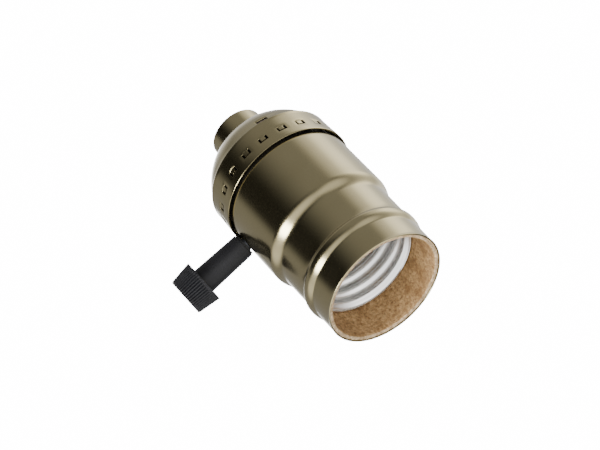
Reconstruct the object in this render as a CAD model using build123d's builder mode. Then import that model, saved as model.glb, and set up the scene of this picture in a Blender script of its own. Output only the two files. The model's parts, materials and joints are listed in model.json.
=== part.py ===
"""A turn-knob lamp socket for a medium screw base, built piece by piece.

All sizes are millimetres. The origin is the centre of the neck's open end, +Z runs along the
socket towards the mouth where the bulb goes in, and +X points the way the turn knob sticks out.
Round pieces are drawn as (radius, height) outlines and turned about Z.
"""

import os
from math import cos, radians, sin, sqrt

from build123d import *

# Neck: a bushing threaded for a 1/8 IP lamp pipe, riveted into the top of the cap
NECK_RADIUS = 6.9
PIPE_BORE_RADIUS = 4.6
NECK_RIVET_RADIUS = 6.0
NECK_FLANGE_RADIUS = 6.7
NECK_FLANGE = 0.9
NECK_LENGTH = 7.5
NECK_CHAMFER = 0.35
SET_SCREW_RADIUS = 1.5
SET_SCREW_Z = 2.4
SET_SCREW_INSET = 0.3
SET_SCREW_PROUD = 0.2

# Cap: a spherical dome, a crease and a slightly flared skirt
SHEET = 0.45
DOME_RADIUS = 17.6
DOME_CENTRE_Z = 21.1
LAND_RADIUS = 7.0
CREASE_RADIUS = 16.6
SKIRT_TOP_RADIUS = 17.0
SKIRT_TOP_RISE = 0.55
RIM_RADIUS = 17.4
RIM_Z = 23.3
WINDOW_COUNT = 20
WINDOW_FIRST_AZIMUTH = 9
WINDOW_Z = 20.1
WINDOW_WIDTH = 2.4
WINDOW_HEIGHT = 1.5
WINDOW_CORNER = 0.3
TONGUE = 0.35
TONGUE_WIDTH = 1.8
TONGUE_HEIGHT = 1.1
TONGUE_ROOT = 0.3
TONGUE_ROOT_RADIUS = 17.1
TONGUE_TIP_RADIUS = 16.4
NOTCH_AZIMUTH = -110
NOTCH_Z = 15.0
NOTCH_WIDTH = 3.3
NOTCH_HEIGHT = 1.7
LINER_GAP = 0.1
LINER = 0.55
LINER_EDGE_Z = 16.0
LINER_HOLE_GAP = 0.4

# Outer shell: a tube with a drawn shoulder, a bead and a curled mouth
SHELL_SHEET = 0.4
SHELL_START_Z = 16.2
SHELL_NECK_RADIUS = 15.85
SHELL_NECK_END_Z = 23.4
SHELL_BODY_START_Z = 24.2
SHELL_BODY_RADIUS = 16.75
SHELL_WIDEST_RADIUS = 16.95
SHOULDER_TOP_Z = 40.5
SHOULDER_BOTTOM_Z = 44.4
WAIST_RADIUS = 15.75
BEAD_START_Z = 53.2
BEAD_CROWN_Z = 54.9
BEAD_RADIUS = 16.4
BEAD_END_Z = 57.3
BEAD_END_SLOPE = 0.35
MOUTH_RADIUS = 15.72
CURL_RADIUS = 15.8
CURL_HEIGHT = 0.7
CURL_EDGE = 0.2
MOUTH_Z = 64.3
SLOT_WIDTH = 5.6

# Insulating sleeve inside the shell
SLEEVE_OUTER_RADIUS = 15.2
SLEEVE_INNER_RADIUS = 14.35
SLEEVE_START_Z = 19.2
SLEEVE_END_Z = 64.1

# Screw shell for the bulb: a corrugated tube at the medium screw thread's pitch
THREAD_PITCH = 3.629
CREST_RADIUS = 12.35
ROOT_RADIUS = 13.25
THREAD_SHEET = 0.35
THREAD_FLAT = 1.0
CREST_COUNT = 5
LAST_CREST_Z = 52.2
LIP_RADIUS = 13.6
LIP_Z = 54.8
SCREW_SHELL_FLOOR_RADIUS = 9.6

# Phenolic body in two halves that meet on the knob's axis
BODY_RADIUS = 13.2
FLANGE_RADIUS = 15.3
FLANGE_BOTTOM_Z = 16.0
FLANGE_TOP_Z = 18.6
KNOB_Z = 27.0
BASE_TOP_Z = 34.6
CHAMBER_HALF_LENGTH = 7.0
CHAMBER_HALF_WIDTH = 6.2
CHAMBER_FLOOR_Z = 21.0
CHAMBER_ROOF_Z = 32.45
WIRE_NOTCH_Y = 10.4
WIRE_NOTCH_WIDTH = 11.0
CORNER_SCREW = (9.3, 5.6)
CORNER_SCREW_RADIUS = 1.25
CORNER_HEAD_RADIUS = 2.3
CORNER_HEAD_BOTTOM_Z = 16.6
CORNER_HEAD_TOP_Z = 18.4
CORNER_SCREW_END_Z = 31.0

# Switch: shaft, rotor, contacts and detent
SHAFT_RADIUS = 1.9
SHAFT_CLEARANCE = 0.05
SHAFT_INNER_X = -9.5
SHAFT_OUTER_X = 26.0
ROTOR_START_X = -4.5
ROTOR_END_X = 2.5
ROTOR_RADIUS = 4.4
ROTOR_BOSS_START_X = -6.7
ROTOR_BOSS_RADIUS = 2.8
HUB_END_X = 5.8
HUB_ACROSS_FLATS = 6.0
HUB_CORNER_RADIUS = 3.6
WASHER_RADIUS = 3.2
WASHER = 0.8
BRIDGE_HALF_WIDTH = 1.4
BRIDGE_RING_RADIUS = 4.65
BRIDGE_PAD_RADIUS = 4.9
BRIDGE_PAD_WIDTH = 5.0
BLADE = 0.4
BLADE_GAP = 0.15
DETENT_LEAF_WIDTH = 2.4
DETENT_LEAF_X = 4.1
DETENT_LEAF_GAP = 0.1
DETENT_ANCHOR_DEPTH = 0.7

# Terminals on the two flat sides of the body
PLATE = 0.7
PLATE_WIDTH = 8.0
PLATE_BOTTOM_Z = 16.8
PLATE_TOP_Z = 26.6
TERMINAL_Z = 19.5
TERMINAL_SCREW_RADIUS = 1.6
TERMINAL_HEAD_RADIUS = 2.8
TERMINAL_HEAD = 1.6
TERMINAL_SCREW_TIP_Y = 7.0
DRIVER_SLOT_WIDTH = 0.6
DRIVER_SLOT_DEPTH = 0.6
STRAP_WIDTH = 4.0
STRAP_TAB_Y = 12.6
TAB = 0.4
POCKET_CLEARANCE = 0.2

# Centre contact, its rivet and the two screws of the screw shell
LEAF = 0.35
LEAF_WIDTH = 3.6
LEAF_TIP_Z = 36.6
LEAF_TIP_Y = 2.2
LEAF_FOOT = 0.4
RIVET_Y = -7.4
RIVET_RADIUS = 1.0
RIVET_HEAD_RADIUS = 1.5
RIVET_HEAD = 0.6
BASE_SCREW_X = 11.2
BASE_SCREW_RADIUS = 1.1
BASE_SCREW_HEAD_RADIUS = 1.5
BASE_SCREW_HEAD = 0.8
BASE_SCREW_LENGTH = 4.2

# Turn knob: a stem and a ribbed, tapered head
STEM_START_X = 17.1
STEM_START_RADIUS = 3.1
STEM_END_RADIUS = 3.35
STEM_STEP = 0.5
HEAD_START_X = 30.3
HEAD_END_X = 36.4
HEAD_START_RADIUS = 5.7
HEAD_END_RADIUS = 4.93
RIB_COUNT = 48
RIB_DEPTH = 0.25

# A cutter reaches this far past the face it cuts through
PAST = 1.0


def sphere_height(radius, sphere_radius):
    """Height of the cap's lower half-sphere of the given size, where it has the given radius."""
    return DOME_CENTRE_Z - sqrt(sphere_radius**2 - radius**2)


def sphere_radius_at(height, sphere_radius):
    """Radius of the cap's lower half-sphere of the given size at the given height."""
    return sqrt(sphere_radius**2 - (DOME_CENTRE_Z - height) ** 2)


def upright_plane(azimuth):
    """A plane through the socket's axis: x runs outwards at the azimuth, y runs up the axis."""
    turn = radians(azimuth)
    return Plane(origin=(0, 0, 0), x_dir=(cos(turn), sin(turn), 0), z_dir=(sin(turn), -cos(turn), 0))


def side_plane(azimuth, height):
    """A plane square to the outward direction at the azimuth: y runs up, its centre on the axis."""
    turn = radians(azimuth)
    outward = (cos(turn), sin(turn), 0)
    return Plane(origin=(0, 0, height), x_dir=(-sin(turn), cos(turn), 0), z_dir=outward)


def cross_plane(x):
    """A plane square to the knob's axis at the given x, its centre on that axis."""
    return Plane(origin=(x, 0, KNOB_Z), x_dir=(0, 1, 0), z_dir=(1, 0, 0))


def finish(piece, name):
    """Label a finished piece and write it as its own STEP file."""
    piece.part.label = name
    export_step(piece.part, f"parts/{name}.step")


os.makedirs("parts", exist_ok=True)

# Heights that follow from the sizes above
land_z = sphere_height(LAND_RADIUS, DOME_RADIUS)
crease_z = sphere_height(CREASE_RADIUS, DOME_RADIUS)
skirt_top_z = crease_z + SKIRT_TOP_RISE
rotor_blade_z = KNOB_Z - BRIDGE_PAD_RADIUS - BLADE_GAP - BLADE
plate_outer_y = WIRE_NOTCH_Y + PLATE

# ---------------------------------------------------------------- neck bushing
with BuildPart() as neck_bushing:
    with BuildSketch(Plane.XZ):
        with BuildLine():
            Polyline(
                (PIPE_BORE_RADIUS, 0),
                (NECK_RADIUS, 0),
                (NECK_RADIUS, land_z),
                (NECK_RIVET_RADIUS, land_z),
                (NECK_RIVET_RADIUS, land_z + SHEET),
                (NECK_FLANGE_RADIUS, land_z + SHEET),
                (NECK_FLANGE_RADIUS, land_z + SHEET + NECK_FLANGE),
                (NECK_RIVET_RADIUS, land_z + SHEET + NECK_FLANGE),
                (NECK_RIVET_RADIUS, NECK_LENGTH),
                (PIPE_BORE_RADIUS, NECK_LENGTH),
                close=True,
            )
        make_face()
    revolve(axis=Axis.Z)
    end_rims = neck_bushing.edges().filter_by(GeomType.CIRCLE).group_by(Axis.Z)[0]
    chamfer(end_rims, length=NECK_CHAMFER)
    with BuildSketch(side_plane(90, SET_SCREW_Z)):
        Circle(SET_SCREW_RADIUS)
    extrude(amount=NECK_RADIUS + PAST, mode=Mode.SUBTRACT)
finish(neck_bushing, "neck_bushing")

with BuildPart() as set_screw:
    set_screw_start = PIPE_BORE_RADIUS + SET_SCREW_INSET
    set_screw_end = NECK_RADIUS + SET_SCREW_PROUD
    with BuildSketch(side_plane(90, SET_SCREW_Z).offset(set_screw_start)):
        Circle(SET_SCREW_RADIUS)
    extrude(amount=set_screw_end - set_screw_start)
    with BuildSketch(side_plane(90, SET_SCREW_Z).offset(set_screw_end - DRIVER_SLOT_DEPTH)):
        Rectangle(2 * SET_SCREW_RADIUS + PAST, DRIVER_SLOT_WIDTH)
    extrude(amount=DRIVER_SLOT_DEPTH + PAST, mode=Mode.SUBTRACT)
finish(set_screw, "set_screw")

# ------------------------------------------------------------------------- cap
with BuildPart() as cap:
    inner_dome = DOME_RADIUS - SHEET
    inner_land = LAND_RADIUS - SHEET / 2
    inner_crease = CREASE_RADIUS - SHEET
    middle_radius = (LAND_RADIUS + CREASE_RADIUS) / 2
    with BuildSketch(Plane.XZ):
        with BuildLine():
            Polyline((inner_land, land_z + SHEET), (NECK_RIVET_RADIUS, land_z + SHEET),
                     (NECK_RIVET_RADIUS, land_z), (LAND_RADIUS, land_z))
            ThreePointArc(
                (LAND_RADIUS, land_z),
                (middle_radius, sphere_height(middle_radius, DOME_RADIUS)),
                (CREASE_RADIUS, crease_z),
            )
            Polyline(
                (CREASE_RADIUS, crease_z),
                (SKIRT_TOP_RADIUS, skirt_top_z),
                (RIM_RADIUS, RIM_Z),
                (RIM_RADIUS - SHEET, RIM_Z),
                (SKIRT_TOP_RADIUS - SHEET, skirt_top_z + SHEET / 2),
                (inner_crease, sphere_height(inner_crease, inner_dome)),
            )
            ThreePointArc(
                (inner_crease, sphere_height(inner_crease, inner_dome)),
                (middle_radius, sphere_height(middle_radius, inner_dome)),
                (inner_land, land_z + SHEET),
            )
        make_face()
    revolve(axis=Axis.Z)
    for index in range(WINDOW_COUNT):
        azimuth = WINDOW_FIRST_AZIMUTH + index * 360 / WINDOW_COUNT
        with BuildSketch(side_plane(azimuth, WINDOW_Z).offset(TONGUE_TIP_RADIUS - PAST)):
            RectangleRounded(WINDOW_WIDTH, WINDOW_HEIGHT, WINDOW_CORNER)
        extrude(amount=2 * PAST + SHEET, mode=Mode.SUBTRACT)
        # the tongue stays joined at the window's lower edge and leans inwards
        with BuildSketch(upright_plane(azimuth)):
            with BuildLine():
                hinge_z = WINDOW_Z - WINDOW_HEIGHT / 2
                Polyline(
                    (TONGUE_ROOT_RADIUS - TONGUE, hinge_z - TONGUE_ROOT),
                    (TONGUE_ROOT_RADIUS, hinge_z - TONGUE_ROOT),
                    (TONGUE_TIP_RADIUS + TONGUE, hinge_z + TONGUE_HEIGHT),
                    (TONGUE_TIP_RADIUS, hinge_z + TONGUE_HEIGHT),
                    close=True,
                )
            make_face()
        extrude(amount=TONGUE_WIDTH / 2, both=True)
    with BuildSketch(side_plane(NOTCH_AZIMUTH, NOTCH_Z).offset(CREASE_RADIUS - 2 * PAST)):
        Rectangle(NOTCH_WIDTH, NOTCH_HEIGHT)
    extrude(amount=3 * PAST, mode=Mode.SUBTRACT)
finish(cap, "cap")

with BuildPart() as cap_liner:
    liner_outer = DOME_RADIUS - SHEET - LINER_GAP
    liner_inner = liner_outer - LINER
    liner_hole = NECK_FLANGE_RADIUS + LINER_HOLE_GAP
    outer_edge = sphere_radius_at(LINER_EDGE_Z, liner_outer)
    inner_edge = sphere_radius_at(LINER_EDGE_Z, liner_inner)
    with BuildSketch(Plane.XZ):
        with BuildLine():
            Line((liner_hole, sphere_height(liner_hole, liner_inner)),
                 (liner_hole, sphere_height(liner_hole, liner_outer)))
            ThreePointArc(
                (liner_hole, sphere_height(liner_hole, liner_outer)),
                (middle_radius, sphere_height(middle_radius, liner_outer)),
                (outer_edge, LINER_EDGE_Z),
            )
            Line((outer_edge, LINER_EDGE_Z), (inner_edge, LINER_EDGE_Z))
            ThreePointArc(
                (inner_edge, LINER_EDGE_Z),
                (middle_radius, sphere_height(middle_radius, liner_inner)),
                (liner_hole, sphere_height(liner_hole, liner_inner)),
            )
        make_face()
    revolve(axis=Axis.Z)
finish(cap_liner, "cap_liner")


# ----------------------------------------------------------------- outer shell
def knob_slot(start_z, reach):
    """Outline of the slot that the knob's shaft slides into: open below, round at the knob."""
    with BuildSketch(side_plane(0, KNOB_Z)) as slot:
        Circle(SLOT_WIDTH / 2)
        depth = KNOB_Z - start_z + PAST
        with Locations((0, -depth / 2)):
            Rectangle(SLOT_WIDTH, depth)
    return extrude(slot.sketch, amount=reach, mode=Mode.PRIVATE)


def shell_outline(inset):
    """The shell's outside outline, moved inwards by the inset, from the cap end to the mouth."""
    shoulder_half = (SHOULDER_TOP_Z + SHOULDER_BOTTOM_Z) / 2
    shoulder_radius = (SHELL_WIDEST_RADIUS + WAIST_RADIUS) / 2
    Polyline((SHELL_NECK_RADIUS - inset, SHELL_START_Z), (SHELL_NECK_RADIUS - inset, SHELL_NECK_END_Z))
    Spline(
        (SHELL_NECK_RADIUS - inset, SHELL_NECK_END_Z),
        (SHELL_BODY_RADIUS - inset, SHELL_BODY_START_Z),
        tangents=((0, 1), (0, 1)),
    )
    Line((SHELL_BODY_RADIUS - inset, SHELL_BODY_START_Z), (SHELL_WIDEST_RADIUS - inset, SHOULDER_TOP_Z))
    Spline(
        (SHELL_WIDEST_RADIUS - inset, SHOULDER_TOP_Z),
        (shoulder_radius - inset, shoulder_half),
        (WAIST_RADIUS - inset, SHOULDER_BOTTOM_Z),
        tangents=((0, 1), (0, 1)),
    )
    Line((WAIST_RADIUS - inset, SHOULDER_BOTTOM_Z), (WAIST_RADIUS - inset, BEAD_START_Z))
    Spline(
        (WAIST_RADIUS - inset, BEAD_START_Z),
        (BEAD_RADIUS - inset, BEAD_CROWN_Z),
        tangents=((0, 1), (0, 1)),
    )
    # the bead ends in a sharp crease on its mouth side
    Spline(
        (BEAD_RADIUS - inset, BEAD_CROWN_Z),
        (MOUTH_RADIUS - inset, BEAD_END_Z),
        tangents=((0, 1), (-BEAD_END_SLOPE, 1)),
    )


with BuildPart() as outer_shell:
    with BuildSketch(Plane.XZ):
        with BuildLine():
            shell_outline(0)
            Polyline(
                (MOUTH_RADIUS, BEAD_END_Z),
                (MOUTH_RADIUS, MOUTH_Z - CURL_HEIGHT),
                (CURL_RADIUS, MOUTH_Z - CURL_EDGE),
                (CURL_RADIUS, MOUTH_Z),
                (MOUTH_RADIUS - SHELL_SHEET, MOUTH_Z),
                (MOUTH_RADIUS - SHELL_SHEET, BEAD_END_Z),
            )
            shell_outline(SHELL_SHEET)
            Line((SHELL_NECK_RADIUS - SHELL_SHEET, SHELL_START_Z), (SHELL_NECK_RADIUS, SHELL_START_Z))
        make_face()
    revolve(axis=Axis.Z)
    add(knob_slot(SHELL_START_Z, RIM_RADIUS), mode=Mode.SUBTRACT)
finish(outer_shell, "outer_shell")

with BuildPart() as insulating_sleeve:
    with BuildSketch(Plane.XY.offset(SLEEVE_START_Z)):
        Circle(SLEEVE_OUTER_RADIUS)
        Circle(SLEEVE_INNER_RADIUS, mode=Mode.SUBTRACT)
    extrude(amount=SLEEVE_END_Z - SLEEVE_START_Z)
    add(knob_slot(SLEEVE_START_Z, RIM_RADIUS), mode=Mode.SUBTRACT)
finish(insulating_sleeve, "insulating_sleeve")


# ---------------------------------------------------------------- screw shell
def thread_side(extra_radius):
    """One side of the corrugated wall: flats at the crests and roots, joined by flanks."""
    half_flat = THREAD_FLAT / 2
    points = []
    for index in range(CREST_COUNT):
        crest_z = LAST_CREST_Z - (CREST_COUNT - 1 - index) * THREAD_PITCH
        points.append((ROOT_RADIUS + extra_radius, crest_z - THREAD_PITCH / 2 + half_flat))
        points.append((CREST_RADIUS + extra_radius, crest_z - half_flat))
        points.append((CREST_RADIUS + extra_radius, crest_z + half_flat))
        points.append((ROOT_RADIUS + extra_radius, crest_z + THREAD_PITCH / 2 - half_flat))
    return points


with BuildPart() as screw_shell:
    inner_side = thread_side(0)
    outer_side = thread_side(THREAD_SHEET)
    with BuildSketch(Plane.XZ):
        with BuildLine():
            Polyline(
                (SCREW_SHELL_FLOOR_RADIUS, BASE_TOP_Z),
                (ROOT_RADIUS + THREAD_SHEET, BASE_TOP_Z),
                *outer_side,
                (LIP_RADIUS + THREAD_SHEET, LIP_Z),
                (LIP_RADIUS, LIP_Z),
                *reversed(inner_side),
                (ROOT_RADIUS, BASE_TOP_Z + THREAD_SHEET),
                (SCREW_SHELL_FLOOR_RADIUS, BASE_TOP_Z + THREAD_SHEET),
                close=True,
            )
        make_face()
    revolve(axis=Axis.Z)
    with Locations((BASE_SCREW_X, 0, BASE_TOP_Z), (-BASE_SCREW_X, 0, BASE_TOP_Z)):
        Cylinder(BASE_SCREW_RADIUS, 2 * PAST, mode=Mode.SUBTRACT)
finish(screw_shell, "screw_shell")

# --------------------------------------------------- phenolic body, lower half
with BuildPart() as switch_housing:
    with BuildSketch(Plane.XY.offset(FLANGE_BOTTOM_Z)):
        Circle(FLANGE_RADIUS)
    extrude(amount=FLANGE_TOP_Z - FLANGE_BOTTOM_Z)
    with BuildSketch(Plane.XY.offset(FLANGE_TOP_Z)):
        Circle(BODY_RADIUS)
    extrude(amount=KNOB_Z - FLANGE_TOP_Z)
    with BuildSketch(Plane.XY.offset(CHAMBER_FLOOR_Z)):
        Rectangle(2 * CHAMBER_HALF_LENGTH, 2 * CHAMBER_HALF_WIDTH)
    extrude(amount=KNOB_Z - CHAMBER_FLOOR_Z, mode=Mode.SUBTRACT)
    # wires and terminals sit in a flat-bottomed notch on each side
    notch_depth = FLANGE_RADIUS - WIRE_NOTCH_Y
    with BuildSketch(Plane.XY.offset(FLANGE_BOTTOM_Z)):
        for side in (-1, 1):
            with Locations((0, side * (WIRE_NOTCH_Y + notch_depth / 2))):
                Rectangle(WIRE_NOTCH_WIDTH, notch_depth)
    extrude(amount=KNOB_Z - FLANGE_BOTTOM_Z, mode=Mode.SUBTRACT)
    with BuildSketch(cross_plane(SHAFT_INNER_X)):
        Circle(SHAFT_RADIUS + SHAFT_CLEARANCE)
    extrude(amount=FLANGE_RADIUS - SHAFT_INNER_X, mode=Mode.SUBTRACT)
    for azimuth in (-90, 90):
        with BuildSketch(side_plane(azimuth, TERMINAL_Z).offset(TERMINAL_SCREW_TIP_Y)):
            Circle(TERMINAL_SCREW_RADIUS)
        extrude(amount=FLANGE_RADIUS, mode=Mode.SUBTRACT)
    # slot for the line contact's blade through the +Y wall
    with BuildSketch(side_plane(90, rotor_blade_z + BLADE / 2)):
        Rectangle(2 * BRIDGE_HALF_WIDTH, BLADE)
    extrude(amount=FLANGE_RADIUS, mode=Mode.SUBTRACT)
    # anchor slots for the detent leaf at both ends of the chamber
    detent_leaf_z = KNOB_Z - HUB_CORNER_RADIUS - DETENT_LEAF_GAP - BLADE
    detent_leaf_length = 2 * (CHAMBER_HALF_WIDTH + DETENT_ANCHOR_DEPTH)
    with BuildSketch(Plane.XY.offset(detent_leaf_z)):
        with Locations((DETENT_LEAF_X, 0)):
            Rectangle(DETENT_LEAF_WIDTH, detent_leaf_length)
    extrude(amount=KNOB_Z - detent_leaf_z, mode=Mode.SUBTRACT)
    for turn in (1, -1):
        with BuildSketch(Plane.XY.offset(FLANGE_BOTTOM_Z)):
            with Locations((turn * CORNER_SCREW[0], turn * CORNER_SCREW[1])):
                Circle(CORNER_HEAD_RADIUS)
        extrude(amount=CORNER_HEAD_TOP_Z - FLANGE_BOTTOM_Z, mode=Mode.SUBTRACT)
        with BuildSketch(Plane.XY.offset(FLANGE_BOTTOM_Z)):
            with Locations((turn * CORNER_SCREW[0], turn * CORNER_SCREW[1])):
                Circle(CORNER_SCREW_RADIUS)
        extrude(amount=KNOB_Z - FLANGE_BOTTOM_Z, mode=Mode.SUBTRACT)
finish(switch_housing, "switch_housing")

# --------------------------------------------------- phenolic body, upper half
with BuildPart() as socket_base:
    with BuildSketch(Plane.XY.offset(KNOB_Z)):
        Circle(BODY_RADIUS)
    extrude(amount=BASE_TOP_Z - KNOB_Z)
    with BuildSketch(Plane.XY.offset(KNOB_Z)):
        Rectangle(2 * CHAMBER_HALF_LENGTH, 2 * CHAMBER_HALF_WIDTH)
        # the load contact runs out of the chamber to its rivet
        pocket_end_y = RIVET_Y - RIVET_HEAD_RADIUS - POCKET_CLEARANCE
        pocket_width = 2 * (RIVET_HEAD_RADIUS + POCKET_CLEARANCE)
        with Locations((0, (pocket_end_y - CHAMBER_HALF_WIDTH) / 2)):
            Rectangle(pocket_width, -pocket_end_y - CHAMBER_HALF_WIDTH)
    extrude(amount=CHAMBER_ROOF_Z - KNOB_Z, mode=Mode.SUBTRACT)
    with BuildSketch(cross_plane(SHAFT_INNER_X)):
        Circle(SHAFT_RADIUS + SHAFT_CLEARANCE)
    extrude(amount=BODY_RADIUS - SHAFT_INNER_X, mode=Mode.SUBTRACT)
    # groove up the -Y side for the neutral strap, with a recess on top for its tab
    groove_depth = BODY_RADIUS - WIRE_NOTCH_Y
    with BuildSketch(Plane.XY.offset(KNOB_Z)):
        with Locations((0, -WIRE_NOTCH_Y - groove_depth / 2)):
            Rectangle(STRAP_WIDTH + 2 * POCKET_CLEARANCE, groove_depth)
    extrude(amount=BASE_TOP_Z - KNOB_Z, mode=Mode.SUBTRACT)
    with BuildSketch(Plane.XY.offset(KNOB_Z)):
        with Locations((0, RIVET_Y)):
            Circle(RIVET_RADIUS)
    extrude(amount=BASE_TOP_Z - KNOB_Z, mode=Mode.SUBTRACT)
    with BuildSketch(Plane.XY.offset(BASE_TOP_Z)):
        with Locations((BASE_SCREW_X, 0), (-BASE_SCREW_X, 0)):
            Circle(BASE_SCREW_RADIUS)
    extrude(amount=-BASE_SCREW_LENGTH, mode=Mode.SUBTRACT)
    with BuildSketch(Plane.XY.offset(KNOB_Z)):
        with Locations(CORNER_SCREW, (-CORNER_SCREW[0], -CORNER_SCREW[1])):
            Circle(CORNER_SCREW_RADIUS)
    extrude(amount=CORNER_SCREW_END_Z - KNOB_Z, mode=Mode.SUBTRACT)
finish(socket_base, "socket_base")

with BuildPart() as housing_screws:
    for turn in (1, -1):
        with BuildSketch(Plane.XY.offset(CORNER_HEAD_BOTTOM_Z)):
            with Locations((turn * CORNER_SCREW[0], turn * CORNER_SCREW[1])):
                Circle(CORNER_HEAD_RADIUS)
                Rectangle(2 * CORNER_HEAD_RADIUS + PAST, DRIVER_SLOT_WIDTH, mode=Mode.SUBTRACT)
        extrude(amount=DRIVER_SLOT_DEPTH)
        with BuildSketch(Plane.XY.offset(CORNER_HEAD_BOTTOM_Z + DRIVER_SLOT_DEPTH)):
            with Locations((turn * CORNER_SCREW[0], turn * CORNER_SCREW[1])):
                Circle(CORNER_HEAD_RADIUS)
        extrude(amount=CORNER_HEAD_TOP_Z - CORNER_HEAD_BOTTOM_Z - DRIVER_SLOT_DEPTH)
        with BuildSketch(Plane.XY.offset(CORNER_HEAD_TOP_Z)):
            with Locations((turn * CORNER_SCREW[0], turn * CORNER_SCREW[1])):
                Circle(CORNER_SCREW_RADIUS)
        extrude(amount=CORNER_SCREW_END_Z - CORNER_HEAD_TOP_Z)
finish(housing_screws, "housing_screws")

with BuildPart() as screw_shell_screws:
    head_z = BASE_TOP_Z + THREAD_SHEET
    with BuildSketch(Plane.XY.offset(BASE_TOP_Z - BASE_SCREW_LENGTH)):
        with Locations((BASE_SCREW_X, 0), (-BASE_SCREW_X, 0)):
            Circle(BASE_SCREW_RADIUS)
    extrude(amount=BASE_SCREW_LENGTH + THREAD_SHEET)
    with BuildSketch(Plane.XY.offset(head_z)):
        with Locations((BASE_SCREW_X, 0), (-BASE_SCREW_X, 0)):
            Circle(BASE_SCREW_HEAD_RADIUS)
    extrude(amount=BASE_SCREW_HEAD)
finish(screw_shell_screws, "screw_shell_screws")


# ------------------------------------------------------------------- terminals
def terminal_plate(azimuth):
    """A flat plate in a side notch, with a hole for its screw."""
    height = PLATE_TOP_Z - PLATE_BOTTOM_Z
    with BuildPart() as plate:
        with BuildSketch(side_plane(azimuth, PLATE_BOTTOM_Z + height / 2).offset(WIRE_NOTCH_Y)):
            Rectangle(PLATE_WIDTH, height)
        extrude(amount=PLATE)
        with BuildSketch(side_plane(azimuth, TERMINAL_Z).offset(WIRE_NOTCH_Y)):
            Circle(TERMINAL_SCREW_RADIUS)
        extrude(amount=PLATE, mode=Mode.SUBTRACT)
    return plate


def terminal_screw(azimuth):
    """A slotted binding screw that clamps a wire under its head."""
    with BuildPart() as screw:
        with BuildSketch(side_plane(azimuth, TERMINAL_Z).offset(TERMINAL_SCREW_TIP_Y)):
            Circle(TERMINAL_SCREW_RADIUS)
        extrude(amount=plate_outer_y - TERMINAL_SCREW_TIP_Y)
        with BuildSketch(side_plane(azimuth, TERMINAL_Z).offset(plate_outer_y)):
            Circle(TERMINAL_HEAD_RADIUS)
        extrude(amount=TERMINAL_HEAD)
        slot_start = plate_outer_y + TERMINAL_HEAD - DRIVER_SLOT_DEPTH
        with BuildSketch(side_plane(azimuth, TERMINAL_Z).offset(slot_start)):
            Rectangle(2 * TERMINAL_HEAD_RADIUS + PAST, DRIVER_SLOT_WIDTH)
        extrude(amount=DRIVER_SLOT_DEPTH + PAST, mode=Mode.SUBTRACT)
    return screw


hot_terminal_plate = terminal_plate(90)
finish(hot_terminal_plate, "hot_terminal_plate")

neutral_plate = terminal_plate(-90)
with BuildPart() as neutral_terminal_plate:
    add(neutral_plate.part)
    # a strap carries on up the base and bends outwards under the screw shell's floor
    with BuildSketch(side_plane(-90, (PLATE_TOP_Z + BASE_TOP_Z) / 2).offset(WIRE_NOTCH_Y)):
        Rectangle(STRAP_WIDTH, BASE_TOP_Z - PLATE_TOP_Z)
    extrude(amount=PLATE)
    with BuildSketch(side_plane(-90, BASE_TOP_Z - TAB / 2).offset(plate_outer_y)):
        Rectangle(STRAP_WIDTH, TAB)
    extrude(amount=STRAP_TAB_Y - plate_outer_y)
finish(neutral_terminal_plate, "neutral_terminal_plate")

for wire, azimuth in (("hot", 90), ("neutral", -90)):
    finish(terminal_screw(azimuth), f"{wire}_terminal_screw")

# -------------------------------------------------------------------- contacts
with BuildPart() as line_contact:
    blade_start_y = -BRIDGE_PAD_WIDTH / 2
    blade_length = WIRE_NOTCH_Y - blade_start_y
    with BuildSketch(Plane.XY.offset(rotor_blade_z)):
        with Locations((0, blade_start_y + blade_length / 2)):
            Rectangle(2 * BRIDGE_HALF_WIDTH, blade_length)
    extrude(amount=BLADE)
finish(line_contact, "line_contact")

with BuildPart() as load_contact:
    load_start_y = RIVET_Y - RIVET_HEAD_RADIUS
    load_end_y = BRIDGE_PAD_WIDTH / 2
    with BuildSketch(Plane.XY.offset(CHAMBER_ROOF_Z - BLADE)):
        with Locations((0, (load_start_y + load_end_y) / 2)):
            Rectangle(2 * BRIDGE_HALF_WIDTH, load_end_y - load_start_y)
        with Locations((0, RIVET_Y)):
            Circle(RIVET_RADIUS, mode=Mode.SUBTRACT)
    extrude(amount=BLADE)
finish(load_contact, "load_contact")

with BuildPart() as centre_contact:
    foot_end_y = RIVET_Y + RIVET_HEAD_RADIUS + LEAF_FOOT
    with BuildSketch(Plane.YZ.offset(-LEAF_WIDTH / 2)):
        with BuildLine():
            Polyline(
                (RIVET_Y - RIVET_HEAD_RADIUS, BASE_TOP_Z),
                (foot_end_y, BASE_TOP_Z),
                (0, LEAF_TIP_Z - LEAF),
                (LEAF_TIP_Y, LEAF_TIP_Z - 2 * LEAF),
                (LEAF_TIP_Y, LEAF_TIP_Z - LEAF),
                (0, LEAF_TIP_Z),
                (foot_end_y, BASE_TOP_Z + LEAF),
                (RIVET_Y - RIVET_HEAD_RADIUS, BASE_TOP_Z + LEAF),
                close=True,
            )
        make_face()
    extrude(amount=LEAF_WIDTH)
    with BuildSketch(Plane.XY.offset(BASE_TOP_Z)):
        with Locations((0, RIVET_Y)):
            Circle(RIVET_RADIUS)
    extrude(amount=LEAF, mode=Mode.SUBTRACT)
finish(centre_contact, "centre_contact")

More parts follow.
